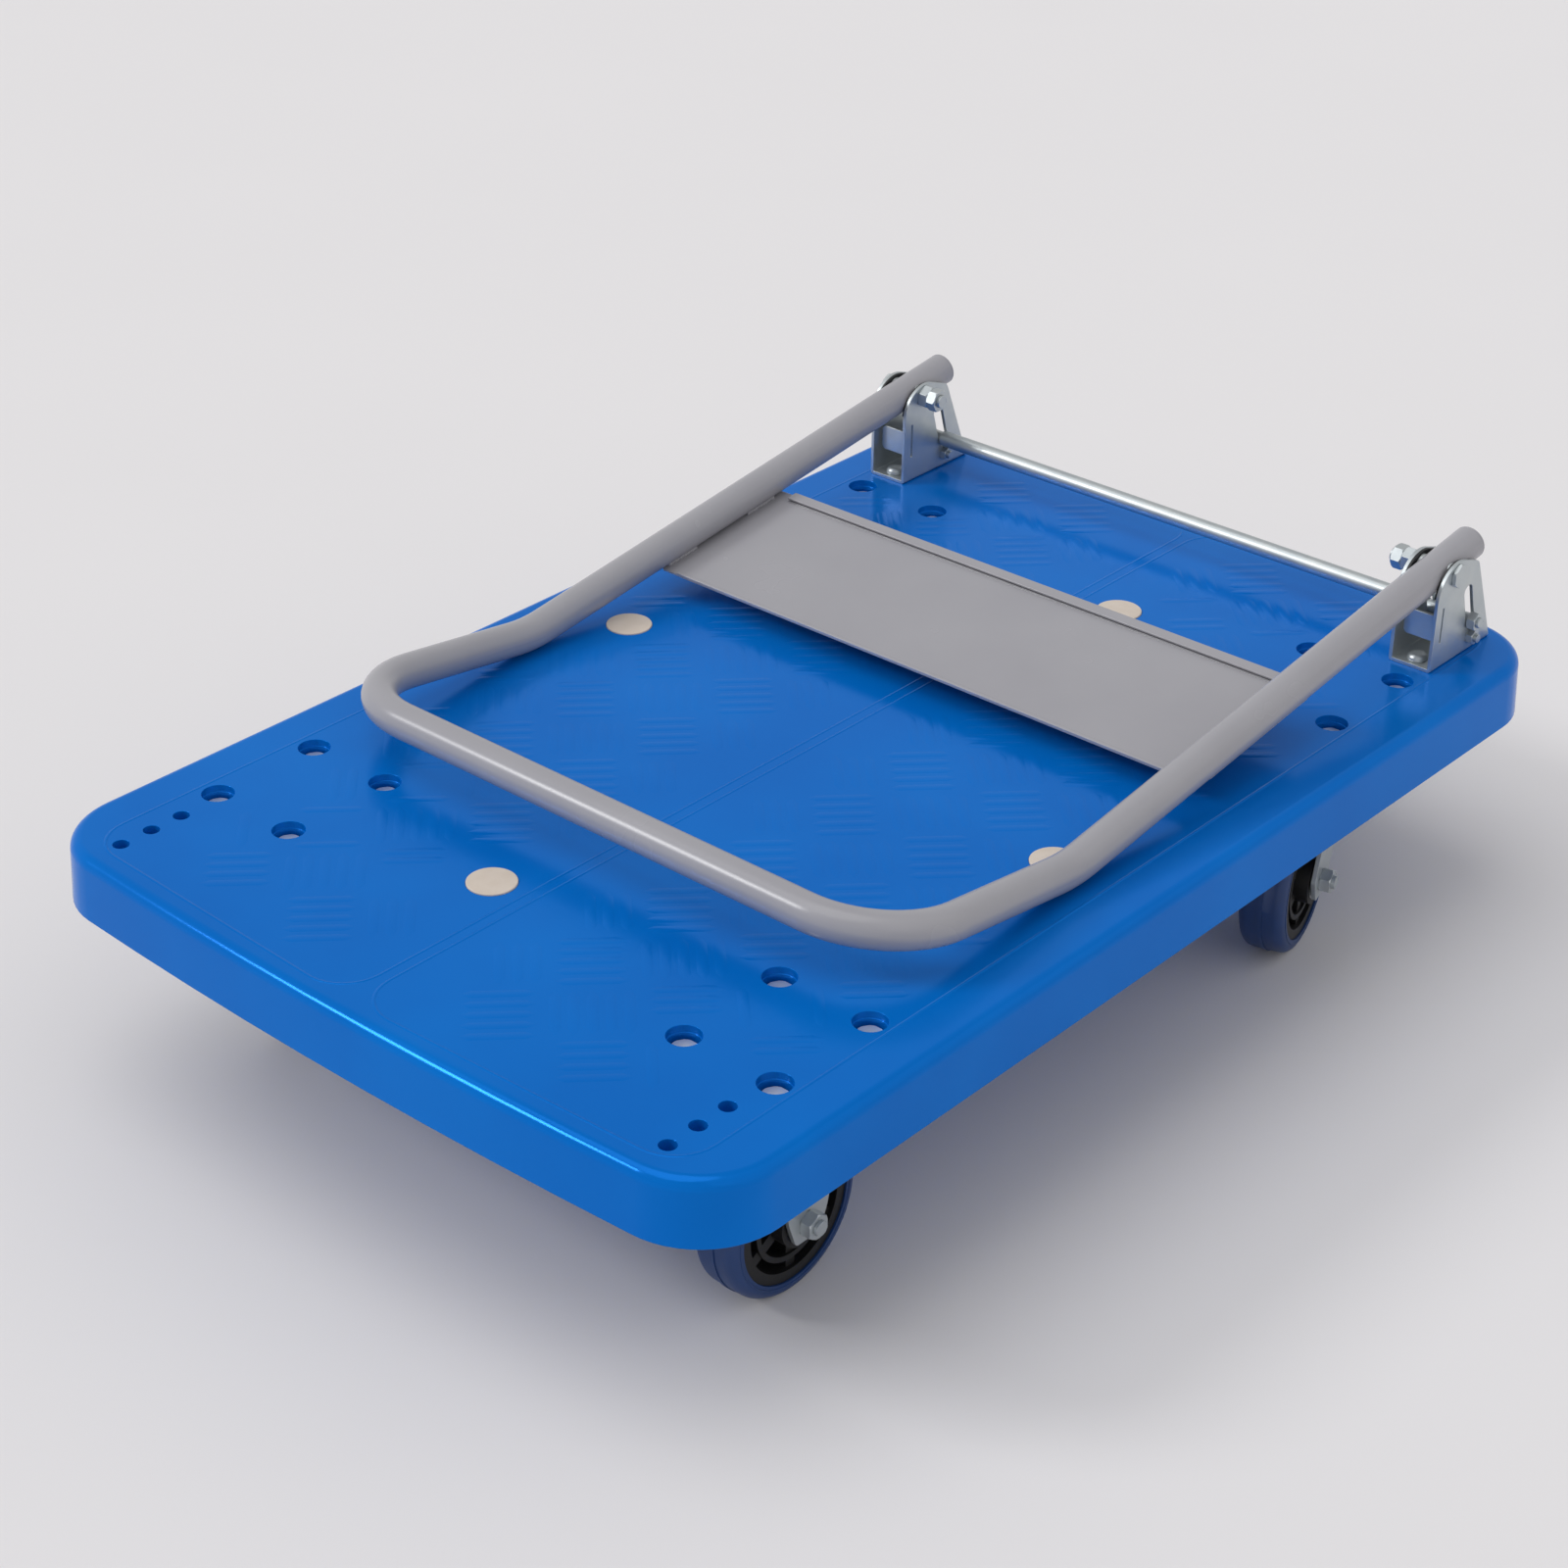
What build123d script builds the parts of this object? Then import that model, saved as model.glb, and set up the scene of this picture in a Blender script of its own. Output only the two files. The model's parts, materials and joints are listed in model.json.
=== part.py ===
from build123d import *
from math import atan2, cos, degrees, hypot, radians, sin, sqrt, tan
import os

# Deck: a moulded tray, open below, with bowed ends, carried on the caster plates
deck_length = 740.0
deck_width = 480.0
deck_height = 36.0
deck_end_bow = 9.0
deck_corner_radius = 48.0
deck_draft_angle = 3.0
deck_edge_radius = 7.0
deck_wall = 4.0
deck_plate = 4.0
rib_thickness = 3.0
rib_depth = 12.0
rib_spacing_x = 60.0
rib_spacing_y = 75.0
rib_rows_x = 3
rib_rows_y = 4
caster_height = 128.0
caster_boss_height = 22.0
deck_top = caster_height + caster_boss_height
deck_front_y = -deck_length / 2
deck_rear_y = deck_length / 2
skirt_bottom = deck_top - deck_height
plate_underside = deck_top - deck_plate
rib_bottom = plate_underside - rib_depth

# Accessory holes in the front corners
accessory_hole_diameter = 9.0
accessory_hole_side_inset = 46.0
accessory_hole_front_inset = 50.5
accessory_hole_pitch = 20.0
accessory_hole_x = deck_width / 2 - accessory_hole_side_inset
accessory_hole_middle_y = deck_front_y + accessory_hole_front_inset
small_boss_diameter = 17.0

# Cream plugs let into the deck top
pad_diameter = 27.0
pad_recess = 2.4
pad_proud = 0.8
pad_edge_radius = 0.6
pad_stem_diameter = 8.0
pad_stem_length = 9.0
pad_places = [(-173.0, 20.0), (174.0, -27.0), (-25.0, -236.0), (29.0, 228.0)]

# Clearances
running_gap = 0.3
thread_gap = 0.1
seat_gap = 0.1
hole_gap = 0.3

# Casters: four alike on one bolt pattern, the rear pair swivelling
caster_side_inset = 70.7
front_caster_inset = 132.7
rear_caster_inset = 141.0
caster_x = deck_width / 2 - caster_side_inset
front_caster_y = deck_front_y + front_caster_inset
rear_caster_y = deck_rear_y - rear_caster_inset
caster_pitch_x = 57.0
caster_pitch_y = 68.0
caster_plate_width = 80.0
caster_plate_length = 94.0
caster_plate_thickness = 2.5
caster_plate_corner = 9.0
caster_boss_diameter = 28.0
bolt_recess_diameter = 18.0
bolt_recess_step_diameter = 17.0
bolt_recess_step_depth = 4.0
bolt_recess_depth = 13.5
caster_plate_bottom = caster_height - caster_plate_thickness

# Wheels
wheel_radius = 47.0
tyre_width = 27.0
tyre_shoulder_radius = 6.0
tyre_ridge_width = 3.0
tyre_ridge_height = 0.5
core_radius = 38.0
core_rim_thickness = 6.0
core_rim_width = 25.0
core_hub_radius = 15.5
core_hub_length = 36.0
spoke_count = 6
spoke_thickness = 6.5
spoke_width = 20.0
ring_radius = 25.0
ring_thickness = 3.0
ring_width = 23.0
bearing_outer_diameter = 24.0
bearing_inner_diameter = 12.6
bearing_width = 8.0
axle_sleeve_diameter = bearing_inner_diameter - 2 * running_gap
axle_height = wheel_radius

# Forks
fork_thickness = 2.5
fork_side_gap = 1.0
fork_inner_width = core_hub_length + 2 * fork_side_gap
fork_end_width = 28.0
fork_end_flat = 18.0
fork_end_rise = 4.0
fork_end_drop = 10.0
fork_corner_radius = 3.0
fixed_fork_top_width = 60.0
swivel_fork_top_width = 46.0
swivel_trail = 36.0
swivel_rest_angle = 195.5
swivel_head_height = 12.0
crown_radius = 31.0
crown_top = caster_height - swivel_head_height
crown_thickness = 4.0
ball_radius = 3.0
ball_ring_radius = 21.0
ball_count = 14
race_gap = 4.0
ball_height = crown_top + race_gap / 2
race_inner_radius = 13.0
race_outer_radius = 27.0
race_bottom = crown_top + race_gap
kingpin_diameter = 12.0
kingpin_head_diameter = 20.0
kingpin_head_height = 3.0

# Fasteners, plain shanks
m8_diameter = 8.0
m8_across_flats = 13.0
m8_head_height = 5.3
m8_nut_height = 6.5
m8_low_head_height = 2.6
hex_chamfer_share = 0.8
m8_washer_diameter = 16.0
m8_washer_thickness = 1.6
m6_diameter = 6.0
m6_across_flats = 10.0
m6_nut_height = 5.0
m6_dome_diameter = 12.0
m6_dome_height = 4.0
m5_diameter = 5.0
m5_across_flats = 8.0
m5_head_height = 3.5
m5_nut_height = 4.0
thread_end = 2.0

# Folding handle: one bent tube with a sheet panel under its legs
tube_diameter = 20.0
tube_wall = 1.5
leg_side_inset = 46.5
pivot_rear_inset = 69.5
pivot_height = 55.53
leg_slope_angle = 7.6
tail_length = 33.3
leg_run = 342.7
knee_radius = 85.0
crank_run = 143.8
grip_height = 29.6
grip_corner_radius = 51.5
pivot_sleeve_diameter = 12.0
tail_cap_thickness = 1.5
tail_cap_plug_length = 8.0
leg_x = deck_width / 2 - leg_side_inset
pivot_y = deck_rear_y - pivot_rear_inset
pivot_z = deck_top + pivot_height
knee_y = pivot_y - leg_run
knee_z = pivot_z - leg_run * tan(radians(leg_slope_angle))
grip_y = knee_y - crank_run
grip_z = deck_top + grip_height

# Panel, placed by its distance from the pivot along the leg
panel_thickness = 1.5
panel_leg_overhang = 4.5
panel_corner_cut = 9.0
panel_rear_distance = 128.5
panel_length = 109.0
panel_overlap = 0.4
panel_hem_leg_gap = 5.5
panel_hem_width = 7.3
panel_hem_height = 2.4
panel_hem_gap = 1.0
panel_hem_gap_depth = 4.0
panel_groove_width = 1.0
panel_groove_depth = 0.7
panel_lip_width = 2.4
panel_lip_height = 0.8
panel_half_width = leg_x + panel_leg_overhang
panel_hem_half_width = leg_x - tube_diameter / 2 - panel_hem_leg_gap

# Hinge brackets: folded sheet with two ears, a stop tab and black liners beside the tube
bracket_thickness = 2.2
liner_thickness = 1.2
liner_bottom = 46.0
liner_inset = 0.4
bracket_inner_width = tube_diameter + 2 * (liner_thickness + running_gap)
bracket_outer_width = bracket_inner_width + 2 * bracket_thickness
bracket_front_reach = 18.5
bracket_length = 65.0
ear_front_height = 71.7
ear_front_radius = 20.0
ear_rear_height = 57.1
ear_rear_radius = 7.0
ear_top_length = 41.6
bend_radius = 2.0
tab_bottom = 17.0
tab_top = 33.0
tab_end_gap = 1.8
tab_corner_radius = 3.0
tab_root = 1.0
score_width = 1.8
score_depth = 1.2
score_top = 39.0
bracket_bolt_front_inset = 8.5
bracket_bolt_rear_inset = 8.0
bracket_front_y = pivot_y - bracket_front_reach
bracket_rear_y = bracket_front_y + bracket_length
ear_top_rear_y = bracket_front_y + ear_top_length
tab_rear_y = pivot_y - tube_diameter / 2 - running_gap
bracket_bolt_front_y = bracket_front_y + bracket_bolt_front_inset
bracket_bolt_rear_y = bracket_rear_y - bracket_bolt_rear_inset

# Lock rod with turned-down ends, sliding in the slanted slots of the ears over a stop bolt
rod_diameter = 10.0
rod_journal_diameter = 8.0
rod_rest_reach = 21.0
rod_rest_height = 19.8
rod_top_reach = 15.0
rod_top_height = 40.0
rod_side_gap = 0.5
rod_end_length = 1.5
stop_bolt_reach = 22.4
stop_bolt_height = 9.2
rod_rest_y = pivot_y + rod_rest_reach
rod_rest_z = deck_top + rod_rest_height
rod_top_y = pivot_y + rod_top_reach
rod_top_z = deck_top + rod_top_height
rod_slot_width = rod_journal_diameter + 2 * running_gap
rod_travel = hypot(rod_top_y - rod_rest_y, rod_top_z - rod_rest_z)
stop_bolt_y = pivot_y + stop_bolt_reach
stop_bolt_z = deck_top + stop_bolt_height

sides = {"left": -1, "right": 1}
caster_pattern = [
    (x, y)
    for x in (-caster_pitch_x / 2, caster_pitch_x / 2)
    for y in (-caster_pitch_y / 2, caster_pitch_y / 2)
]
caster_places = {
    "front_left": (-caster_x, front_caster_y),
    "front_right": (caster_x, front_caster_y),
    "rear_left": (-caster_x, rear_caster_y),
    "rear_right": (caster_x, rear_caster_y),
}
caster_bolt_places = [(cx + x, cy + y) for cx, cy in caster_places.values() for x, y in caster_pattern]
accessory_places = [
    (side * accessory_hole_x, accessory_hole_middle_y + step * accessory_hole_pitch)
    for side in sides.values()
    for step in (-1, 0, 1)
]
bracket_bolt_places = [
    (side * leg_x, y)
    for side in sides.values()
    for y in (bracket_bolt_front_y, bracket_bolt_rear_y)
]


def post(radius, bottom, top, x=0.0, y=0.0):
    """Upright cylinder between two heights."""
    return Pos(x, y, bottom) * Cylinder(radius, top - bottom, align=(Align.CENTER, Align.CENTER, Align.MIN))


def block(x0, x1, y0, y1, z0, z1):
    """Box between two corners."""
    middle = Pos((x0 + x1) / 2, (y0 + y1) / 2, (z0 + z1) / 2)
    return middle * Box(x1 - x0, y1 - y0, z1 - z0)


def ring(outer, inner, bottom, top, x=0.0, y=0.0):
    """Upright tube between two heights."""
    return post(outer, bottom, top, x, y) - post(inner, bottom - 1, top + 1, x, y)


def hexagon(across_flats, height):
    """Hexagonal prism with its corners turned off at both ends."""
    prism = extrude(RegularPolygon(across_flats / 2, 6, major_radius=False), height)
    corner = across_flats / sqrt(3)
    cut = hex_chamfer_share * (corner - across_flats / 2)
    blank = post(corner + running_gap, 0, height)
    blank = chamfer(blank.edges().filter_by(GeomType.CIRCLE), cut + running_gap)
    return prism & blank


def hex_bolt(diameter, length, across_flats, head_height):
    """Head above the origin, shank below it."""
    return hexagon(across_flats, head_height) + post(diameter / 2, -length, 0)


def hex_nut(diameter, across_flats, height):
    """Nut standing on the origin."""
    return hexagon(across_flats, height) - post(diameter / 2 + thread_gap, -1, height + 1)


def along_x(shape, side, x, y, z):
    """Turns an upright shape to point out to one side and moves it."""
    return Pos(x, y, z) * Rot(0, 90 * side, 0) * shape


def profile_across(points, x0, x1):
    """Solid between two widths from a closed outline of (y, z) points."""
    face = make_face(Polyline(*points, close=True))
    return Pos(x0, 0, 0) * extrude(Plane.YZ * face, x1 - x0)


def deck_outline(inset):
    """Round-cornered outline with bowed ends, drawn in by an inset."""
    half_width = deck_width / 2 - inset
    half_length = deck_length / 2 - inset
    shoulder = half_length - deck_end_bow
    front = ThreePointArc((-half_width, -shoulder), (0, -half_length), (half_width, -shoulder))
    rear = ThreePointArc((half_width, shoulder), (0, half_length), (-half_width, shoulder))
    right = Line((half_width, -shoulder), (half_width, shoulder))
    left = Line((-half_width, shoulder), (-half_width, -shoulder))
    face = make_face([front, right, rear, left])
    return fillet(face.vertices(), deck_corner_radius - inset)


def make_deck():
    outer = Pos(0, 0, skirt_bottom) * extrude(deck_outline(0), deck_height, taper=deck_draft_angle)
    outer = fillet(outer.faces().sort_by(Axis.Z)[-1].edges(), deck_edge_radius)
    hollow = extrude(deck_outline(deck_wall), deck_height - deck_plate, taper=deck_draft_angle)
    deck = outer - Pos(0, 0, skirt_bottom) * hollow
    inside = deck_width / 2 - deck_wall
    inside_length = deck_length / 2 - deck_end_bow - deck_wall
    half_rib = rib_thickness / 2
    webs = []
    for step in range(-rib_rows_x, rib_rows_x + 1):
        x = step * rib_spacing_x
        webs.append(block(x - half_rib, x + half_rib, -inside_length, inside_length, rib_bottom, deck_top - 1))
    for step in range(-rib_rows_y, rib_rows_y + 1):
        y = step * rib_spacing_y
        webs.append(block(-inside, inside, y - half_rib, y + half_rib, rib_bottom, deck_top - 1))
    for cx, cy in caster_places.values():
        for x in (-caster_pitch_x / 2, caster_pitch_x / 2):
            webs.append(
                block(
                    cx + x - half_rib, cx + x + half_rib,
                    cy - caster_pitch_y / 2, cy + caster_pitch_y / 2,
                    caster_height, deck_top - 1,
                )
            )
    for x, y in caster_bolt_places:
        webs.append(post(caster_boss_diameter / 2, caster_height, deck_top - 1, x, y))
    for x, y in accessory_places + bracket_bolt_places + pad_places:
        webs.append(post(small_boss_diameter / 2, rib_bottom, deck_top - 1, x, y))
    deck += [web & outer for web in webs]
    cuts = []
    for x, y in caster_bolt_places:
        cuts.append(post(bolt_recess_diameter / 2, deck_top - bolt_recess_step_depth, deck_top + 1, x, y))
        cuts.append(post(bolt_recess_step_diameter / 2, deck_top - bolt_recess_depth, deck_top, x, y))
        cuts.append(post(m8_diameter / 2 + hole_gap, skirt_bottom, deck_top, x, y))
    for x, y in accessory_places:
        cuts.append(post(accessory_hole_diameter / 2, skirt_bottom, deck_top + 1, x, y))
    for x, y in bracket_bolt_places:
        cuts.append(post(m6_diameter / 2 + hole_gap, skirt_bottom, deck_top + 1, x, y))
    for x, y in pad_places:
        cuts.append(post(pad_diameter / 2 + seat_gap, deck_top - pad_recess, deck_top + 1, x, y))
        cuts.append(post(pad_stem_diameter / 2 + seat_gap, skirt_bottom, deck_top, x, y))
    return deck - cuts


def make_pad(x, y):
    disc = post(pad_diameter / 2, deck_top - pad_recess, deck_top + pad_proud, x, y)
    disc = fillet(disc.edges().sort_by(Axis.Z)[-1], pad_edge_radius)
    seat = deck_top - pad_recess
    return disc + post(pad_stem_diameter / 2, seat - pad_stem_length, seat, x, y)


def ear_outline():
    """Upright outline of an ear as a face of (y, height) points."""
    corners = [
        (bracket_front_y, 0),
        (bracket_front_y, ear_front_height),
        (ear_top_rear_y, ear_rear_height),
        (bracket_rear_y, 0),
    ]
    face = make_face(Polyline(*corners, close=True))
    face = fillet(face.vertices().sort_by(Axis.Y)[-2], ear_rear_radius)
    return fillet(face.vertices().sort_by(Axis.Y)[-1], ear_front_radius)


def make_bracket(side):
    half_outer = bracket_outer_width / 2
    half_inner = bracket_inner_width / 2
    bracket = Pos(-half_outer, 0, deck_top) * extrude(Plane.YZ * ear_outline(), bracket_outer_width)
    bracket -= block(
        -half_inner, half_inner, 0, deck_length, deck_top + bracket_thickness, deck_top + ear_front_height
    )
    outer_bends = bracket.edges().filter_by(Axis.Y).group_by(Axis.Z)[0]
    bracket = fillet(outer_bends, bend_radius)
    tab_front_y = tab_rear_y - bracket_thickness
    tab = block(
        tab_end_gap - half_inner, half_inner + tab_root,
        tab_front_y, tab_rear_y, deck_top + tab_bottom, deck_top + tab_top,
    )
    free_corners = tab.edges().filter_by(Axis.Y).group_by(Axis.X)[0]
    bracket += fillet(free_corners, tab_corner_radius)
    score_y = (tab_front_y + tab_rear_y) / 2
    bracket -= block(
        half_outer - score_depth, half_outer + 1,
        score_y - score_width / 2, score_y + score_width / 2,
        deck_top + tab_bottom, deck_top + score_top,
    )
    slot = SlotCenterToCenter(rod_travel, rod_slot_width)
    slot_angle = degrees(atan2(rod_top_z - rod_rest_z, rod_top_y - rod_rest_y))
    slot_middle = Pos((rod_rest_y + rod_top_y) / 2, (rod_rest_z + rod_top_z) / 2)
    slot_face = Plane.YZ * (slot_middle * Rot(0, 0, slot_angle) * slot)
    bracket -= Pos(-half_outer - 1, 0, 0) * extrude(slot_face, bracket_outer_width + 2)
    pivot_hole = post(m8_diameter / 2 + hole_gap, -half_outer - 1, half_outer + 1)
    bracket -= along_x(pivot_hole, 1, 0, pivot_y, pivot_z)
    stop_hole = post(m5_diameter / 2 + hole_gap, -half_outer - 1, half_outer + 1)
    bracket -= along_x(stop_hole, 1, 0, stop_bolt_y, stop_bolt_z)
    for y in (bracket_bolt_front_y, bracket_bolt_rear_y):
        bracket -= post(m6_diameter / 2 + hole_gap, deck_top - 1, deck_top + bracket_thickness + 1, 0, y)
    return Pos(side * leg_x, 0, 0) * bracket


def make_dome_bolt(x, y):
    seat = deck_top + bracket_thickness
    head = post(m6_dome_diameter / 2, seat, seat + m6_dome_height, x, y)
    head = fillet(head.edges().sort_by(Axis.Z)[-1], m6_dome_height * 0.9)
    return head + post(m6_diameter / 2, rib_bottom - m6_nut_height - thread_end, seat, x, y)


def make_pivot_bolt(side):
    length = bracket_outer_width + 2 * m8_nut_height + thread_end
    bolt = hex_bolt(m8_diameter, length, m8_across_flats, m8_low_head_height)
    return along_x(bolt, side, side * (leg_x + bracket_outer_width / 2), pivot_y, pivot_z)


def make_pivot_nut(side, order):
    """One of the two nuts locked against each other on the inner ear."""
    nut = Rot(0, 0, 30 * order) * hex_nut(m8_diameter, m8_across_flats, m8_nut_height)
    seat = leg_x - bracket_outer_width / 2 - order * m8_nut_height
    return along_x(nut, -side, side * seat, pivot_y, pivot_z)


def make_liner(side, face):
    """Thin bearing sheet against the inner face of one ear, following the top of its outline."""
    outline = offset(ear_outline(), -liner_inset)
    start = min(face * bracket_inner_width / 2, face * (bracket_inner_width / 2 - liner_thickness))
    liner = Pos(start, 0, deck_top) * extrude(Plane.YZ * outline, liner_thickness)
    liner -= block(-deck_width, deck_width, 0, deck_length, 0, deck_top + liner_bottom)
    pivot_hole = post(m8_diameter / 2 + hole_gap, -deck_width, deck_width)
    liner -= along_x(pivot_hole, 1, 0, pivot_y, pivot_z)
    return Pos(side * leg_x, 0, 0) * liner


def make_stop_bolt(side):
    length = bracket_outer_width + m5_nut_height + thread_end
    bolt = hex_bolt(m5_diameter, length, m5_across_flats, m5_head_height)
    return along_x(bolt, -1, side * leg_x - bracket_outer_width / 2, stop_bolt_y, stop_bolt_z)


def make_stop_nut(side):
    nut = hex_nut(m5_diameter, m5_across_flats, m5_nut_height)
    return along_x(nut, 1, side * leg_x + bracket_outer_width / 2, stop_bolt_y, stop_bolt_z)


def tube_path():
    """Centre line of the handle from the left tail round to the right tail."""
    tail_y = pivot_y + tail_length * cos(radians(leg_slope_angle))
    tail_z = pivot_z + tail_length * sin(radians(leg_slope_angle))
    left = [(-leg_x, tail_y, tail_z), (-leg_x, knee_y, knee_z), (-leg_x, grip_y, grip_z)]
    right = [(-x, y, z) for x, y, z in reversed(left)]
    corners = [Vector(*point) for point in left + right]
    radii = [knee_radius, grip_corner_radius, grip_corner_radius, knee_radius]
    edges = []
    start = corners[0]
    for before, corner, after, radius in zip(corners, corners[1:], corners[2:], radii):
        into = (before - corner).normalized()
        out = (after - corner).normalized()
        half_angle = radians(into.get_angle(out)) / 2
        reach = radius / tan(half_angle)
        centre = corner + (into + out).normalized() * (radius / sin(half_angle))
        bend_start = corner + into * reach
        bend_end = corner + out * reach
        bend_middle = centre + (corner - centre).normalized() * radius
        edges.append(Line(start, bend_start))
        edges.append(ThreePointArc(bend_start, bend_middle, bend_end))
        start = bend_end
    edges.append(Line(start, corners[-1]))
    return Wire(edges)


def leg_place(side, distance):
    """Place on a leg's axis, upright along the leg towards the tail."""
    y = pivot_y + distance * cos(radians(leg_slope_angle))
    z = pivot_z + distance * sin(radians(leg_slope_angle))
    return Pos(side * leg_x, y, z) * Rot(leg_slope_angle - 90, 0, 0)


def make_tube():
    path = tube_path()
    section = Circle(tube_diameter / 2) - Circle(tube_diameter / 2 - tube_wall)
    tube = sweep(Plane(path @ 0, z_dir=path % 0) * section, path=path)
    hole = post(pivot_sleeve_diameter / 2 + seat_gap, -tube_diameter, tube_diameter)
    return tube - [along_x(hole, 1, side * leg_x, pivot_y, pivot_z) for side in sides.values()]


def make_tail_cap(side):
    plug_radius = tube_diameter / 2 - tube_wall - seat_gap
    cap = post(tube_diameter / 2, 0, tail_cap_thickness) + post(plug_radius, -tail_cap_plug_length, 0)
    return leg_place(side, tail_length) * cap


def make_pivot_sleeve(side):
    sleeve = ring(pivot_sleeve_diameter / 2, m8_diameter / 2 + running_gap, -tube_diameter / 2, tube_diameter / 2)
    return along_x(sleeve, 1, side * leg_x, pivot_y, pivot_z)


def make_panel():
    """Sheet lying against the undersides of both legs, with a raised rear hem and front lip."""
    top = -tube_diameter / 2 + panel_overlap
    rear = -panel_rear_distance
    front = rear - panel_length
    hem = rear - panel_hem_width
    wide = panel_half_width
    narrow = panel_hem_half_width
    sheet = block(-wide, wide, front, rear, top - panel_thickness, top)
    sheet = chamfer(sheet.edges().filter_by(Axis.Z), panel_corner_cut)
    sheet += block(-narrow, narrow, hem, rear, top, top + panel_hem_height)
    sheet -= block(-narrow - 1, narrow + 1, hem, hem + panel_hem_gap_depth, top, top + panel_hem_gap)
    sheet += block(-narrow, narrow, front, front + panel_lip_width, top, top + panel_lip_height)
    sheet -= block(-narrow, narrow, hem - panel_groove_width, hem, top - panel_groove_depth, top + 1)
    sheet = Pos(0, pivot_y, pivot_z) * Rot(leg_slope_angle, 0, 0) * sheet
    legs = [
        leg_place(side, 0) * post(tube_diameter / 2, front - tube_diameter, 0)
        for side in sides.values()
    ]
    return sheet - legs


def make_rod():
    shoulder = leg_x - bracket_outer_width / 2 - rod_side_gap
    journal = leg_x + bracket_outer_width / 2 + rod_side_gap
    reach = journal + m6_nut_height + rod_end_length
    rod = post(rod_diameter / 2, -shoulder, shoulder)
    rod += post(rod_journal_diameter / 2, -journal, journal)
    rod += post(m6_diameter / 2, -reach, reach)
    return along_x(rod, 1, 0, rod_rest_y, rod_rest_z)


def make_rod_nut(side):
    """Nut against the end of the journal, just clear of the outer ear."""
    nut = hex_nut(m6_diameter, m6_across_flats, m6_nut_height)
    seat = leg_x + bracket_outer_width / 2 + rod_side_gap
    return along_x(nut, side, side * seat, rod_rest_y, rod_rest_z)


def make_caster_bolt(x, y):
    seat = deck_top - bolt_recess_depth + m8_washer_thickness
    length = seat - caster_plate_bottom + m8_nut_height + thread_end
    return Pos(x, y, seat) * hex_bolt(m8_diameter, length, m8_across_flats, m8_head_height)


def make_caster_washer(x, y):
    seat = deck_top - bolt_recess_depth
    return ring(m8_washer_diameter / 2, m8_diameter / 2 + thread_gap, seat, seat + m8_washer_thickness, x, y)


def make_caster_nut(x, y):
    nut = hex_nut(m8_diameter, m8_across_flats, m8_nut_height)
    return Pos(x, y, caster_plate_bottom - m8_nut_height) * nut


def make_caster_plate():
    outline = RectangleRounded(caster_plate_width, caster_plate_length, caster_plate_corner)
    plate = Pos(0, 0, caster_plate_bottom) * extrude(outline, caster_plate_thickness)
    return plate - [
        post(m8_diameter / 2 + hole_gap, caster_plate_bottom - 1, caster_height + 1, x, y)
        for x, y in caster_pattern
    ]


def make_fork_legs(top, top_width, trail):
    """Pair of legs tapering from under the crown to blunt ends below the axle."""
    inner = fork_inner_width / 2
    outer = inner + fork_thickness
    outline = [
        (-top_width / 2, top),
        (top_width / 2, top),
        (trail + fork_end_width / 2, axle_height + fork_end_rise),
        (trail + fork_end_flat / 2, axle_height - fork_end_drop),
        (trail - fork_end_flat / 2, axle_height - fork_end_drop),
        (trail - fork_end_width / 2, axle_height + fork_end_rise),
    ]
    legs = profile_across(outline, -outer, outer)
    end_corners = legs.edges().filter_by(Axis.X).group_by(Axis.Z)
    legs = fillet(end_corners[0] + end_corners[1], fork_corner_radius)
    legs -= block(-inner, inner, -deck_length, deck_length, 0, top + 1)
    return legs - along_x(post(m8_diameter / 2 + hole_gap, -outer - 1, outer + 1), 1, 0, trail, axle_height)


def make_swivel_plate():
    race = ring(race_outer_radius, race_inner_radius, race_bottom, caster_plate_bottom)
    plate = make_caster_plate() + race
    plate -= Pos(0, 0, ball_height) * Torus(ball_ring_radius, ball_radius + running_gap)
    return plate - post(kingpin_diameter / 2 + seat_gap, caster_plate_bottom - 1, caster_height + 1)


def make_swivel_fork():
    crown_bottom = crown_top - crown_thickness
    fork = post(crown_radius, crown_bottom, crown_top)
    fork += make_fork_legs(crown_bottom + 1, swivel_fork_top_width, swivel_trail)
    fork -= Pos(0, 0, ball_height) * Torus(ball_ring_radius, ball_radius + seat_gap)
    return fork - post(kingpin_diameter / 2 + running_gap, crown_bottom - 1, crown_top + 1)


def make_balls():
    return [
        Rot(0, 0, 360.0 * index / ball_count) * Pos(ball_ring_radius, 0, ball_height) * Sphere(ball_radius)
        for index in range(ball_count)
    ]


def make_kingpin():
    head_top = crown_top - crown_thickness - running_gap
    head = post(kingpin_head_diameter / 2, head_top - kingpin_head_height, head_top)
    return head + post(kingpin_diameter / 2, head_top, caster_height)


def make_tyre():
    half = tyre_width / 2
    tyre = post(wheel_radius - tyre_ridge_height, -half, half)
    tyre = fillet(tyre.edges().filter_by(GeomType.CIRCLE), tyre_shoulder_radius)
    tyre += post(wheel_radius, -tyre_ridge_width / 2, tyre_ridge_width / 2)
    return tyre - post(core_radius, -half - 1, half + 1)


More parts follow.
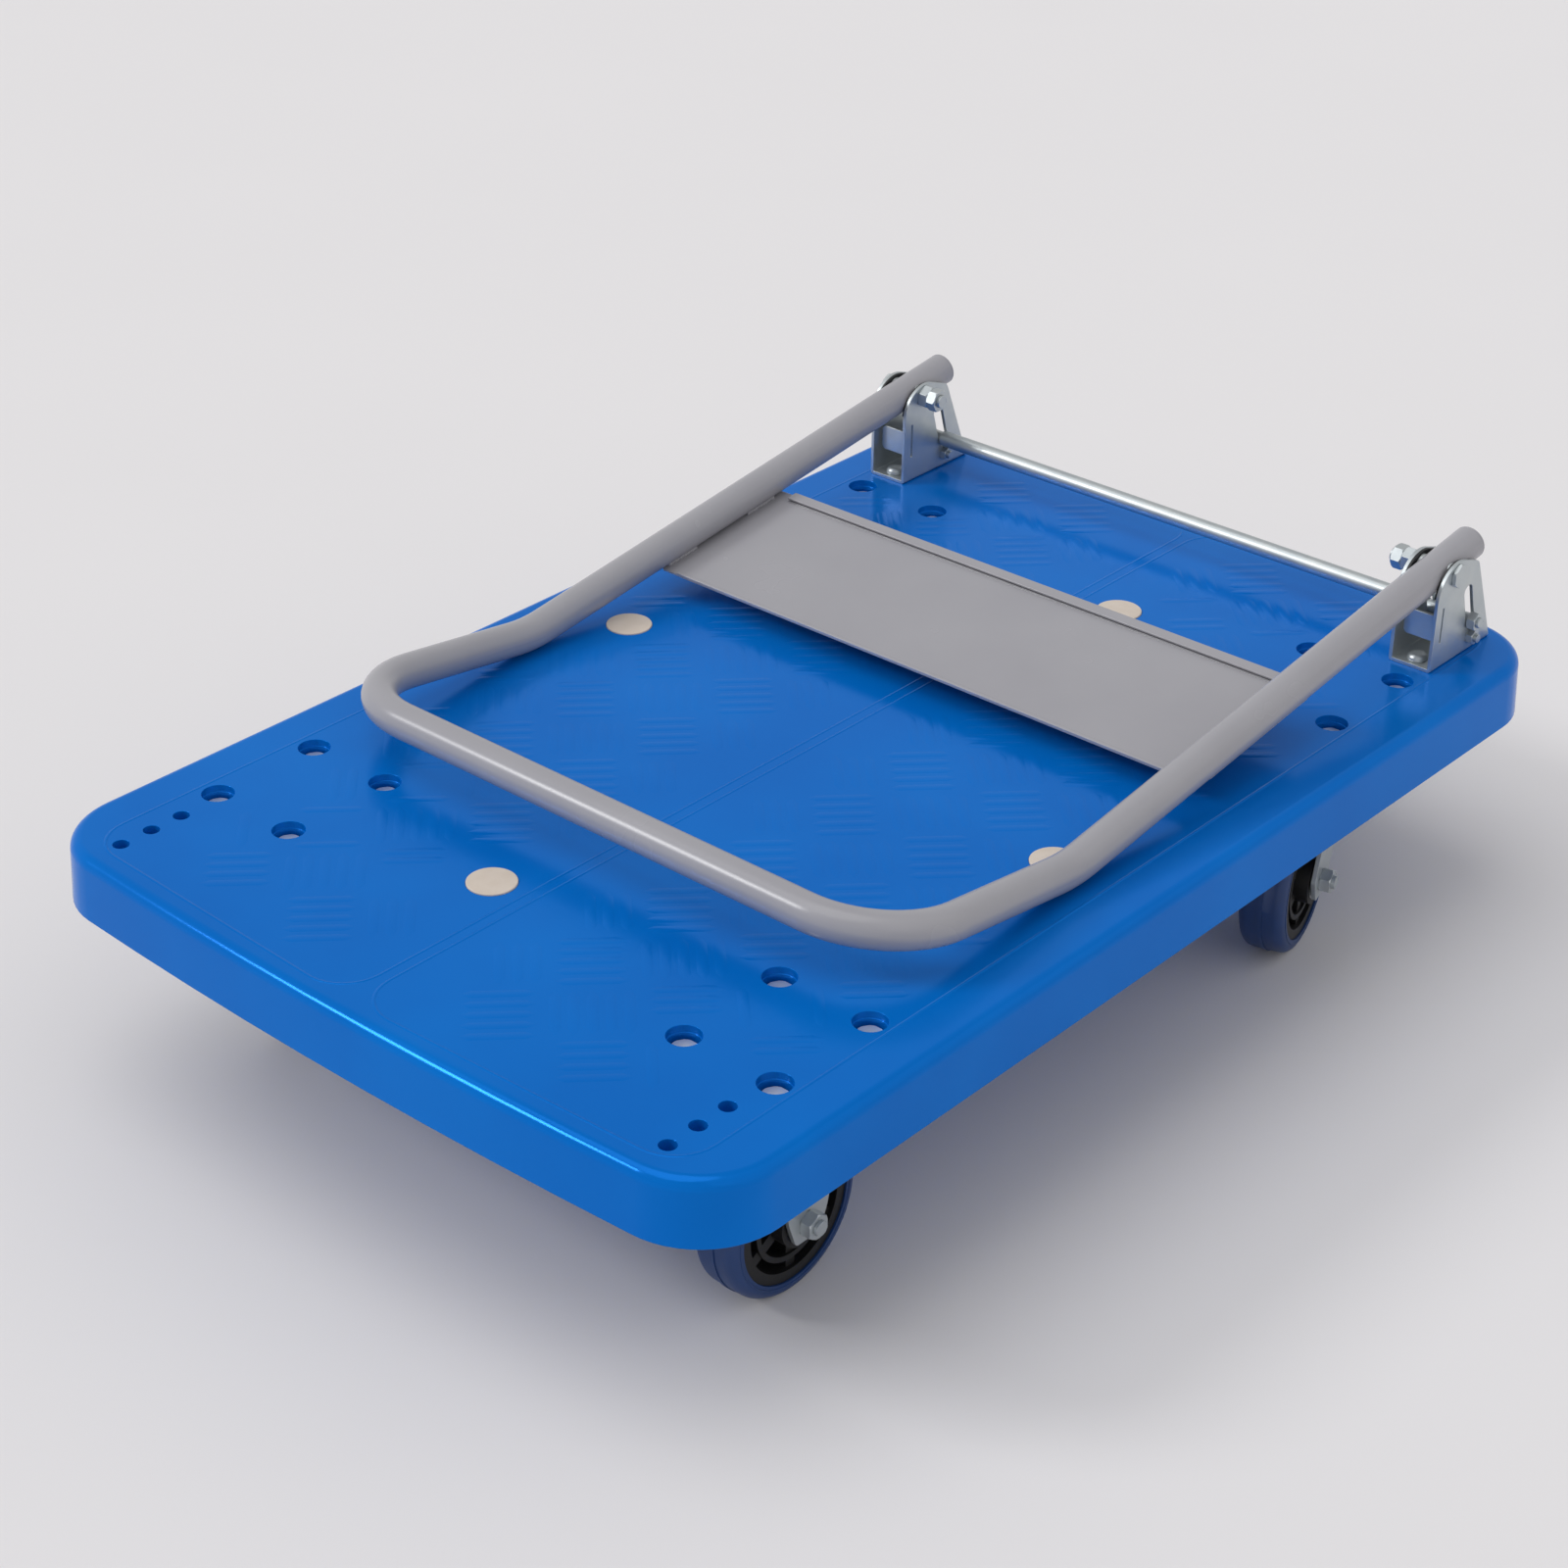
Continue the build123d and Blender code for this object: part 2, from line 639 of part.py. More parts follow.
def make_core():
    half_rim = core_rim_width / 2
    half_hub = core_hub_length / 2
    core = ring(core_radius - seat_gap, core_radius - core_rim_thickness, -half_rim, half_rim)
    core += post(core_hub_radius, -half_hub, half_hub)
    core += ring(ring_radius + ring_thickness / 2, ring_radius - ring_thickness / 2, -ring_width / 2, ring_width / 2)
    spoke = block(0, core_radius - 2, -spoke_thickness / 2, spoke_thickness / 2, -spoke_width / 2, spoke_width / 2)
    core += [Rot(0, 0, 360.0 * index / spoke_count) * spoke for index in range(spoke_count)]
    core -= post(axle_sleeve_diameter / 2 + 2 * running_gap, -half_hub - 1, half_hub + 1)
    seat_radius = bearing_outer_diameter / 2 + seat_gap
    core -= post(seat_radius, half_hub - bearing_width, half_hub + 1)
    return core - post(seat_radius, -half_hub - 1, bearing_width - half_hub)


def make_bearings():
    half_hub = core_hub_length / 2
    outer = bearing_outer_diameter / 2
    inner = bearing_inner_diameter / 2
    return [
        ring(outer, inner, half_hub - bearing_width, half_hub),
        ring(outer, inner, -half_hub, bearing_width - half_hub),
    ]


def make_axle():
    """Bolt, nut and spacer of one wheel, lying along X through the origin, head inboard."""
    outer = fork_inner_width / 2 + fork_thickness
    length = 2 * outer + m8_nut_height + thread_end
    bolt = along_x(hex_bolt(m8_diameter, length, m8_across_flats, m8_head_height), -1, -outer, 0, 0)
    nut = along_x(hex_nut(m8_diameter, m8_across_flats, m8_nut_height), 1, outer, 0, 0)
    spacer = ring(
        axle_sleeve_diameter / 2, m8_diameter / 2 + hole_gap, -fork_inner_width / 2, fork_inner_width / 2
    )
    return bolt, nut, along_x(spacer, 1, 0, 0, 0)


parts = {}


def add(name, *shapes):
    parts[name] = [Solid(solid.wrapped) for shape in shapes for solid in shape.solids()]


# Deck and what is bolted to it
add("deck_shell", make_deck())
add("deck_pads", *[make_pad(x, y) for x, y in pad_places])
for name, side in sides.items():
    add("hinge_bracket_" + name, make_bracket(side))
add("bracket_bolts", *[make_dome_bolt(x, y) for x, y in bracket_bolt_places])
bracket_nut = Pos(0, 0, rib_bottom - m6_nut_height) * hex_nut(m6_diameter, m6_across_flats, m6_nut_height)
add("bracket_nuts", *[Pos(x, y, 0) * bracket_nut for x, y in bracket_bolt_places])
add("pivot_bolts", *[make_pivot_bolt(side) for side in sides.values()])
add("pivot_nuts", *[make_pivot_nut(side, order) for side in sides.values() for order in (0, 1)])
add("ear_liners", *[make_liner(side, face) for side in sides.values() for face in (-1, 1)])
add("stop_bolts", *[make_stop_bolt(side) for side in sides.values()])
add("stop_nuts", *[make_stop_nut(side) for side in sides.values()])
add("caster_bolts", *[make_caster_bolt(x, y) for x, y in caster_bolt_places])
add("caster_washers", *[make_caster_washer(x, y) for x, y in caster_bolt_places])
add("caster_nuts", *[make_caster_nut(x, y) for x, y in caster_bolt_places])

# Handle and lock rod
add("handle_tube", make_tube())
add("handle_panel", make_panel())
add("tail_caps", *[make_tail_cap(side) for side in sides.values()])
add("pivot_sleeves", *[make_pivot_sleeve(side) for side in sides.values()])
add("lock_rod", make_rod())
add("rod_nuts", *[make_rod_nut(side) for side in sides.values()])

# Casters and wheels, front pair fixed and rear pair turned to their rest angle
bolt, nut, spacer = make_axle()
wheel_pieces = {"tyre": [make_tyre()], "wheel_core": [make_core()], "bearings": make_bearings()}
for name, (x, y) in caster_places.items():
    side = -1 if "left" in name else 1
    if "front" in name:
        place = Pos(x, y, 0)
        axle_place = Pos(x, y, axle_height) * Rot(0, 0, 0 if side > 0 else 180)
        fork = make_caster_plate() + make_fork_legs(caster_plate_bottom, fixed_fork_top_width, 0)
        add("fixed_fork_" + name, place * fork)
    else:
        place = Pos(x, y, 0) * Rot(0, 0, swivel_rest_angle)
        axle_place = place * Pos(0, swivel_trail, axle_height) * Rot(0, 0, 0 if side < 0 else 180)
        add("swivel_plate_" + name, Pos(x, y, 0) * make_swivel_plate())
        add("kingpin_" + name, Pos(x, y, 0) * make_kingpin())
        add("swivel_fork_" + name, place * make_swivel_fork())
        add("swivel_balls_" + name, *[place * ball for ball in make_balls()])
    add("axle_bolt_" + name, axle_place * bolt)
    add("axle_nut_" + name, axle_place * nut)
    add("axle_spacer_" + name, axle_place * spacer)
    for piece, shapes in wheel_pieces.items():
        add(piece + "_" + name, *[axle_place * along_x(shape, 1, 0, 0, 0) for shape in shapes])

os.makedirs("parts", exist_ok=True)
for name, solids in parts.items():
    shape = solids[0] if len(solids) == 1 else Compound(children=solids)
    shape.label = name
    export_step(shape, f"parts/{name}.step")
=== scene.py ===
import json
import math

import bmesh
import bpy
from mathutils import Matrix, Vector


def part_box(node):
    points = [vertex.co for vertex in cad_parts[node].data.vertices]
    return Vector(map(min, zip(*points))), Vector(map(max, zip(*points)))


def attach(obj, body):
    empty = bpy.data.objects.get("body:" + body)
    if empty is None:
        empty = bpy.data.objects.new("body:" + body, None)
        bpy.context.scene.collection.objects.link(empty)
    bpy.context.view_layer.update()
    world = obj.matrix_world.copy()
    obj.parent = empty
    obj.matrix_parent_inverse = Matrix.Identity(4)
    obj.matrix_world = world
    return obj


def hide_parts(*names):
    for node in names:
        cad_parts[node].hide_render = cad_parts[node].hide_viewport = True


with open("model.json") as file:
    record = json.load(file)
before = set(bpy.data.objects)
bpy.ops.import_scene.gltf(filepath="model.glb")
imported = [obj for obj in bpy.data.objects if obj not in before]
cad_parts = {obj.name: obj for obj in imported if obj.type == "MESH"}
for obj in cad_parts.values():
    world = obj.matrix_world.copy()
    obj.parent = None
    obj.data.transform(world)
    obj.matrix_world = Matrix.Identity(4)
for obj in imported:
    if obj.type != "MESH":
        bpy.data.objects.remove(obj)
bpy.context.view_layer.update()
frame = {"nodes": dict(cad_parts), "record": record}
nodes = frame["nodes"]
bodies = frame["record"]["behaviour"]["bodies"]
body_of_node = {node: body for body, members in bodies.items() for node in members}
mm = 0.001

# The photograph's view of the cart: where the camera stands and how long its lens is
view_azimuth = math.radians(42.62)
view_elevation = math.radians(29.80)
view_roll = math.radians(-0.13)
view_distance = 1737.0 * mm
view_slide = (-72.58 * mm, -29.32 * mm)
view_focus = Vector((0, 0, 150 * mm))
lens_length = 72.36
sensor_width = 36.0
frame_shift = (0.0539, 0.0010)
clip_near = 10 * mm
clip_far = 100.0

# Sizes shared with the solids, in metres
deck_top = 150 * mm
deck_half_length = 370 * mm
deck_half_width = 240 * mm
deck_end_bow = 9 * mm
leg_x = 193.5 * mm
pivot = Vector((0, 300.5 * mm, 205.53 * mm))
leg_slope = math.radians(7.6)
bracket_half_width = 13.7 * mm
bracket_middle_y = 314.5 * mm
pivot_nut_reach = 13.1 * mm
caster_places = {
    "front_left": Vector((-169.3, -237.3, 0)) * mm,
    "front_right": Vector((169.3, -237.3, 0)) * mm,
    "rear_left": Vector((-169.3, 229.0, 0)) * mm,
    "rear_right": Vector((169.3, 229.0, 0)) * mm,
}
caster_pitch = (57 * mm, 68 * mm)
swivel_yaw = math.radians(15.5)
swivel_trail = 36 * mm
axle_height = 47 * mm
axle_nut_reach = 28.1 * mm
rod_thread_length = 1.5 * mm
tyre_half_width = 13.5 * mm
caster_recess_radius = 9 * mm
front_hole_radius = 4.5 * mm
plug_radius = 13.5 * mm
caster_holes = [
    place + Vector((x * caster_pitch[0] / 2, y * caster_pitch[1] / 2, 0))
    for place in caster_places.values()
    for x in (-1, 1)
    for y in (-1, 1)
]
front_holes = [Vector((x, y, 0)) * mm for x in (-194, 194) for y in (-339.5, -319.5, -299.5)]
plug_places = [Vector((x, y, 0)) * mm for x, y in ((-173, 20), (174, -27), (-25, -236), (29, 228))]


def linear(code):
    """Linear colour from an sRGB hex value."""
    parts = [int(code[i:i + 2], 16) / 255 for i in (1, 3, 5)]
    return tuple(p / 12.92 if p <= 0.04045 else ((p + 0.055) / 1.055) ** 2.4 for p in parts) + (1.0,)


def put(tree, kind, inputs=None, **settings):
    """Adds one node, with its settings, and its inputs set or linked by name or number."""
    node = tree.nodes.new(kind)
    for name, value in settings.items():
        setattr(node, name, value)
    for name, value in (inputs or {}).items():
        if isinstance(value, bpy.types.NodeSocket):
            tree.links.new(value, node.inputs[name])
        else:
            node.inputs[name].default_value = value
    return node


# Sockets of a node that mixes two colours, where a name alone would find its number sockets
mix_share = 0
mix_first = 6
mix_second = 7
mix_result = 2


def start_material(name):
    """New material with an empty node tree."""
    material = bpy.data.materials.new(name)
    material.use_nodes = True
    material.node_tree.nodes.clear()
    return material, material.node_tree


# Moulded polypropylene: strong blue even in its reflections, faint flow marks, fine grain drawn coarse
def make_deck_plastic():
    material, tree = start_material("moulded_polypropylene_blue")
    place = put(tree, "ShaderNodeTexCoord").outputs["Object"]
    flow = put(tree, "ShaderNodeTexNoise", {"Vector": place, "Scale": 1 / (110 * mm), "Detail": 3.0})
    spread = put(
        tree, "ShaderNodeMapRange",
        {"Value": flow.outputs["Fac"], "From Min": 0.32, "From Max": 0.68},
    )
    blue = put(
        tree, "ShaderNodeMix",
        {mix_share: spread.outputs[0], mix_first: linear("#006ac6"), mix_second: linear("#0072cf")},
        data_type="RGBA",
    )
    grain = put(tree, "ShaderNodeTexNoise", {"Vector": place, "Scale": 1 / (1.6 * mm), "Detail": 2.0})
    shine = put(
        tree, "ShaderNodeMapRange",
        {"Value": flow.outputs["Fac"], "From Min": 0.3, "From Max": 0.7, "To Min": 0.15, "To Max": 0.20},
    )
    relief = put(
        tree, "ShaderNodeBump",
        {"Height": grain.outputs["Fac"], "Strength": 0.05, "Distance": 0.2 * mm},
    )
    plastic = put(
        tree, "ShaderNodeBsdfPrincipled",
        {
            "Base Color": blue.outputs[mix_result],
            "Roughness": shine.outputs[0],
            "IOR": 1.49,
            "Specular IOR Level": 0.08,
            "Metallic": 0.23,
            "Normal": relief.outputs[0],
        },
    )
    put(tree, "ShaderNodeOutputMaterial", {"Surface": plastic.outputs[0]})
    return material


# Moulded polyethylene: cream, matt, a little yellowed in patches, fine grain drawn coarse enough to show
def make_pad_plastic():
    material, tree = start_material("moulded_polyethylene_cream")
    place = put(tree, "ShaderNodeTexCoord").outputs["Object"]
    patch = put(tree, "ShaderNodeTexNoise", {"Vector": place, "Scale": 1 / (9 * mm), "Detail": 4.0})
    cream = put(
        tree, "ShaderNodeMix",
        {mix_share: patch.outputs["Fac"], mix_first: linear("#d9cec3"), mix_second: linear("#c7b9aa")},
        data_type="RGBA",
    )
    grain = put(tree, "ShaderNodeTexNoise", {"Vector": place, "Scale": 1 / (0.8 * mm)})
    relief = put(
        tree, "ShaderNodeBump",
        {"Height": grain.outputs["Fac"], "Strength": 0.2, "Distance": 0.2 * mm},
    )
    plastic = put(
        tree, "ShaderNodeBsdfPrincipled",
        {"Base Color": cream.outputs[mix_result], "Roughness": 0.5, "IOR": 1.5, "Normal": relief.outputs[0]},
    )
    put(tree, "ShaderNodeOutputMaterial", {"Surface": plastic.outputs[0]})
    return material


# Powder-coated steel: mid grey, a touch cool, satin, with the slight orange peel of baked powder
def make_handle_paint():
    material, tree = start_material("powder_coated_steel_grey")
    place = put(tree, "ShaderNodeTexCoord").outputs["Object"]
    cloud = put(tree, "ShaderNodeTexNoise", {"Vector": place, "Scale": 1 / (60 * mm), "Detail": 3.0})
    grey = put(
        tree, "ShaderNodeMix",
        {mix_share: cloud.outputs["Fac"], mix_first: linear("#97969c"), mix_second: linear("#a2a1a6")},
        data_type="RGBA",
    )
    peel = put(tree, "ShaderNodeTexNoise", {"Vector": place, "Scale": 1 / (2.2 * mm), "Detail": 1.0})
    shine = put(tree, "ShaderNodeMapRange", {"Value": cloud.outputs["Fac"], "To Min": 0.22, "To Max": 0.3})
    relief = put(
        tree, "ShaderNodeBump",
        {"Height": peel.outputs["Fac"], "Strength": 0.06, "Distance": 0.2 * mm},
    )
    paint = put(
        tree, "ShaderNodeBsdfPrincipled",
        {
            "Base Color": grey.outputs[mix_result],
            "Roughness": shine.outputs[0],
            "IOR": 1.5,
            "Normal": relief.outputs[0],
        },
    )
    put(tree, "ShaderNodeOutputMaterial", {"Surface": paint.outputs[0]})
    return material


# Zinc-plated steel: cool grey in deeper and paler clouds, bright, dulled a little in patches
def make_zinc_steel(name, deep, pale, metal, dullness):
    material, tree = start_material(name)
    place = put(tree, "ShaderNodeTexCoord").outputs["Object"]
    cloud = put(tree, "ShaderNodeTexNoise", {"Vector": place, "Scale": 1 / (14 * mm), "Detail": 3.0})
    tint = put(
        tree, "ShaderNodeMix",
        {mix_share: cloud.outputs["Fac"], mix_first: linear(deep), mix_second: linear(pale)},
        data_type="RGBA",
    )
    spangle = put(tree, "ShaderNodeTexNoise", {"Vector": place, "Scale": 1 / (6 * mm), "Detail": 2.0})
    shine = put(
        tree, "ShaderNodeMapRange",
        {
            "Value": spangle.outputs["Fac"],
            "From Min": 0.3,
            "From Max": 0.7,
            "To Min": dullness - 0.05,
            "To Max": dullness + 0.05,
        },
    )
    relief = put(
        tree, "ShaderNodeBump",
        {"Height": spangle.outputs["Fac"], "Strength": 0.02, "Distance": 0.2 * mm},
    )
    steel = put(
        tree, "ShaderNodeBsdfPrincipled",
        {
            "Base Color": tint.outputs[mix_result],
            "Metallic": metal,
            "Roughness": shine.outputs[0],
            "Normal": relief.outputs[0],
        },
    )
    put(tree, "ShaderNodeOutputMaterial", {"Surface": steel.outputs[0]})
    return material


# Ground bearing steel: neutral, smooth and bright, with fine grinding marks drawn coarse enough to show
def make_bearing_steel():
    material, tree = start_material("ground_bearing_steel")
    place = put(tree, "ShaderNodeTexCoord").outputs["Object"]
    marks = put(tree, "ShaderNodeTexNoise", {"Vector": place, "Scale": 1 / (1.2 * mm), "Detail": 3.0})
    shine = put(tree, "ShaderNodeMapRange", {"Value": marks.outputs["Fac"], "To Min": 0.16, "To Max": 0.32})
    steel = put(
        tree, "ShaderNodeBsdfPrincipled",
        {"Base Color": linear("#c4c3c0"), "Metallic": 1.0, "Roughness": shine.outputs[0]},
    )
    put(tree, "ShaderNodeOutputMaterial", {"Surface": steel.outputs[0]})
    return material


# Moulded acetal, nylon and rubber: dark, satin, two close tones, fine grain drawn coarse enough to show
def make_dark_moulding(name, low, high, roughness, grain_size):
    material, tree = start_material(name)
    place = put(tree, "ShaderNodeTexCoord").outputs["Object"]
    cloud = put(tree, "ShaderNodeTexNoise", {"Vector": place, "Scale": 1 / (16 * mm), "Detail": 4.0})
    tone = put(
        tree, "ShaderNodeMix",
        {mix_share: cloud.outputs["Fac"], mix_first: linear(low), mix_second: linear(high)},
        data_type="RGBA",
    )
    grain = put(tree, "ShaderNodeTexNoise", {"Vector": place, "Scale": 1 / grain_size})
    shine = put(
        tree, "ShaderNodeMapRange",
        {"Value": cloud.outputs["Fac"], "To Min": roughness - 0.05, "To Max": roughness + 0.07},
    )
    relief = put(
        tree, "ShaderNodeBump",
        {"Height": grain.outputs["Fac"], "Strength": 0.15, "Distance": 0.2 * mm},
    )
    plastic = put(
        tree, "ShaderNodeBsdfPrincipled",
        {
            "Base Color": tone.outputs[mix_result],
            "Roughness": shine.outputs[0],
            "IOR": 1.5,
            "Normal": relief.outputs[0],
        },
    )
    put(tree, "ShaderNodeOutputMaterial", {"Surface": plastic.outputs[0]})
    return material


# Finish of each slot
finishes = {
    "deck_plastic": make_deck_plastic(),
    "pad_plastic": make_pad_plastic(),
    "handle_paint": make_handle_paint(),
    "zinc_steel": make_zinc_steel("zinc_plated_steel_blue_passivated", "#b1bac0", "#c6cac9", 0.8, 0.4),
    "bearing_steel": make_bearing_steel(),
    # Near-black liners on the hinge ears also stand in for the deep shade on the ears' inner faces beside the
    # tube
    "liner_plastic": make_dark_moulding("moulded_acetal_black_ear_shade", "#121214", "#1b1b1d", 0.4, 0.8 * mm),
    "core_plastic": make_dark_moulding("moulded_nylon_black", "#080809", "#0d0d0e", 0.5, 0.9 * mm),
    "tyre_rubber": make_dark_moulding("thermoplastic_rubber_navy", "#10305f", "#163c74", 0.42, 1.1 * mm),
}
# Bolt heads and washers down in the deck: zinc drawn paler and less metallic than the brackets, a painted
# highlight that keeps them bright in their shaded recesses
bolt_zinc_painted_bright = make_zinc_steel("zinc_bolt_painted_highlight", "#e1e6ea", "#f0f2f3", 0.7, 0.36)
own_finish = {"caster_bolts": bolt_zinc_painted_bright, "caster_washers": bolt_zinc_painted_bright}


def slot_of_node(name):
    """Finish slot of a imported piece."""
    return nodes[name].data.materials[0].name.split(".")[0]


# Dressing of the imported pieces: what merges, which edges stay sharp and which are rounded
merge_distance = 0.001 * mm
flat_angle = math.radians(0.2)
sharp_angle = math.radians(32)
rounded_angle = math.radians(40)


def smooth_copy(name, rounding):
    """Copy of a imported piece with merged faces, smooth curves and small rounded edges."""
    mesh = nodes[name].data.copy()
    shell = bmesh.new()
    shell.from_mesh(mesh)
    bmesh.ops.remove_doubles(shell, verts=shell.verts, dist=merge_distance)
    bmesh.ops.dissolve_limit(shell, angle_limit=flat_angle, verts=shell.verts, edges=shell.edges)
    shell.to_mesh(mesh)
    shell.free()
    mesh.polygons.foreach_set("use_smooth", [True] * len(mesh.polygons))
    mesh.set_sharp_from_angle(angle=sharp_angle)
    slot = slot_of_node(name)
    mesh.materials.clear()
    mesh.materials.append(own_finish.get(name, finishes[slot]))
    piece = bpy.data.objects.new(name + ".dressed", mesh)
    bpy.context.collection.objects.link(piece)
    if rounding:
        edge = piece.modifiers.new("rounded_edges", "BEVEL")
        edge.width = rounding
        edge.segments = 2
        edge.limit_method = "ANGLE"
        edge.angle_limit = rounded_angle
        evener = piece.modifiers.new("even_shading", "WEIGHTED_NORMAL")
        evener.keep_sharp = True
    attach(piece, body_of_node[name])
    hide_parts(name)


# Edge rounding, by a word in the piece's name
edge_rounding = {
    "deck_shell": 0.6 * mm,
    "hinge_bracket": 0.5 * mm,
    "handle_panel": 0.35 * mm,
    "fixed_fork": 0.5 * mm,
    "swivel_fork": 0.5 * mm,
    "swivel_plate": 0.5 * mm,
    "wheel_core": 0.7 * mm,
    "bolt": 0.4 * mm,
    "nut": 0.4 * mm,
    "lock_rod": 0.6 * mm,
    "tail_caps": 0.5 * mm,
    "washer": 0.2 * mm,
    "liner": 0.2 * mm,
}
for name in nodes:
    rounding = next((size for word, size in edge_rounding.items() if word in name), 0.0)
    smooth_copy(name, rounding)


number = "NodeSocketFloat"
whole_number = "NodeSocketInt"


def start_growth(name, sizes):
    """Empty geometry tree with one input for a start mesh, named inputs for sizes and one for the finish."""
    tree = bpy.data.node_groups.new(name, "GeometryNodeTree")
    tree.interface.new_socket("Start", in_out="INPUT", socket_type="NodeSocketGeometry")
    for label, kind in sizes.items():
        tree.interface.new_socket(label, in_out="INPUT", socket_type=kind)
    tree.interface.new_socket("Finish", in_out="INPUT", socket_type="NodeSocketMaterial")
    tree.interface.new_socket("Shape", in_out="OUTPUT", socket_type="NodeSocketGeometry")
    return tree, put(tree, "NodeGroupInput").outputs


def end_growth(tree, given, shape):
    """Closes a geometry tree with real faces and a finish."""
    solid = put(tree, "GeometryNodeRealizeInstances", {"Geometry": shape})
    smooth = put(tree, "GeometryNodeSetShadeSmooth", {"Geometry": solid.outputs[0]})
    coated = put(
        tree, "GeometryNodeSetMaterial",
        {"Geometry": smooth.outputs[0], "Material": given["Finish"]},
    )
    put(tree, "NodeGroupOutput", {"Shape": coated.outputs[0]})
    return tree


def start_mesh(name, points, edges=(), axes=(), turns=()):
    """Points, and edges between them, with a direction or a turn kept on each point."""
    mesh = bpy.data.meshes.new(name)
    mesh.from_pydata(points, edges, [])
    if axes:
        kept = mesh.attributes.new("axis", "FLOAT_VECTOR", "POINT")
        kept.data.foreach_set("vector", [value for axis in axes for value in axis])
    if turns:
        kept = mesh.attributes.new("turn", "FLOAT", "POINT")
        kept.data.foreach_set("value", turns)
    return mesh


def kept_facing(tree):
    """Turn that lays a shape's own Z along the direction kept on each point."""
    axis = put(tree, "GeometryNodeInputNamedAttribute", {"Name": "axis"}, data_type="FLOAT_VECTOR")
    return put(tree, "FunctionNodeAlignRotationToVector", {"Vector": axis.outputs[0]}, axis="Z").outputs[0]


def grow(tree, mesh, body, slot, sizes):
    """Runs a geometry tree on a start mesh and keeps the result as a plain piece of one body."""
    start = bpy.data.objects.new(mesh.name + ".start", mesh)
    bpy.context.collection.objects.link(start)
    growth = start.modifiers.new("growth", "NODES")
    growth.node_group = tree
    keys = {item.name: item.identifier for item in tree.interface.items_tree if item.in_out == "INPUT"}
    for label, value in sizes.items():
        growth[keys[label]] = value
    growth[keys["Finish"]] = finishes[slot]
    bpy.context.view_layer.update()
    grown = start.evaluated_get(bpy.context.evaluated_depsgraph_get())
    shape = bpy.data.meshes.new_from_object(grown)
    start.modifiers.remove(growth)
    bpy.data.objects.remove(start)
    piece = bpy.data.objects.new(mesh.name, shape)
    bpy.context.collection.objects.link(piece)
    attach(piece, body)


# Anti-slip bars: flattened bars with tapered ends, sunk so that only a low crown stands out
def bar_tree():
    tree, given = start_growth("anti_slip_bars", {"Length": number, "Width": number, "Flatness": number})
    half = put(tree, "ShaderNodeMath", {0: given["Length"], 1: 0.5}, operation="MULTIPLY").outputs[0]
    minus = put(tree, "ShaderNodeMath", {0: given["Length"], 1: -0.5}, operation="MULTIPLY").outputs[0]
    near = put(tree, "ShaderNodeCombineXYZ", {"X": minus}).outputs[0]
    far = put(tree, "ShaderNodeCombineXYZ", {"X": half}).outputs[0]
    line = put(tree, "GeometryNodeCurvePrimitiveLine", {"Start": near, "End": far})
    steps = put(tree, "GeometryNodeResampleCurve", {"Curve": line.outputs[0], "Count": 5})
    along = put(tree, "GeometryNodeSplineParameter").outputs["Factor"]
    middle = put(tree, "ShaderNodeMath", {0: along, 1: 0.5}, operation="SUBTRACT").outputs[0]
    away = put(tree, "ShaderNodeMath", {0: middle}, operation="ABSOLUTE").outputs[0]
    taper = put(
        tree, "ShaderNodeMapRange",
        {"Value": away, "From Min": 0.25, "From Max": 0.5, "To Min": 1.0, "To Max": 0.45},
    ).outputs[0]
    shaped = put(tree, "GeometryNodeSetCurveRadius", {"Curve": steps.outputs[0], "Radius": taper})
    radius = put(tree, "ShaderNodeMath", {0: given["Width"], 1: 0.5}, operation="MULTIPLY").outputs[0]
    section = put(tree, "GeometryNodeCurvePrimitiveCircle", {"Resolution": 8, "Radius": radius})
    bar = put(
        tree, "GeometryNodeCurveToMesh",
        {
            "Curve": shaped.outputs[0],
            "Profile Curve": section.outputs[0],
            "Scale": taper,
            "Fill Caps": True,
        },
    )
    squeeze = put(tree, "ShaderNodeCombineXYZ", {"X": 1.0, "Y": 1.0, "Z": given["Flatness"]}).outputs[0]
    flat = put(tree, "GeometryNodeTransform", {"Geometry": bar.outputs[0], "Scale": squeeze})
    turn = put(tree, "GeometryNodeInputNamedAttribute", {"Name": "turn"}, data_type="FLOAT").outputs[0]
    facing = put(tree, "ShaderNodeCombineXYZ", {"Z": turn}).outputs[0]
    laid = put(
        tree, "GeometryNodeInstanceOnPoints",
        {"Points": given["Start"], "Instance": flat.outputs[0], "Rotation": facing},
    )
    return end_growth(tree, given, laid.outputs[0])


# Moulded lines: a low round ridge along every edge of the start mesh
def line_tree():
    tree, given = start_growth("moulded_lines", {"Width": number, "Flatness": number, "Height": number})
    path = put(tree, "GeometryNodeMeshToCurve", {"Mesh": given["Start"]})
    radius = put(tree, "ShaderNodeMath", {0: given["Width"], 1: 0.5}, operation="MULTIPLY").outputs[0]
    section = put(tree, "GeometryNodeCurvePrimitiveCircle", {"Resolution": 8, "Radius": radius})
    ridge = put(
        tree, "GeometryNodeCurveToMesh",
        {"Curve": path.outputs[0], "Profile Curve": section.outputs[0]},
    )
    squeeze = put(tree, "ShaderNodeCombineXYZ", {"X": 1.0, "Y": 1.0, "Z": given["Flatness"]}).outputs[0]
    lift = put(tree, "ShaderNodeCombineXYZ", {"Z": given["Height"]}).outputs[0]
    laid = put(
        tree, "GeometryNodeTransform",
        {"Geometry": ridge.outputs[0], "Scale": squeeze, "Translation": lift},
    )
    return end_growth(tree, given, laid.outputs[0])


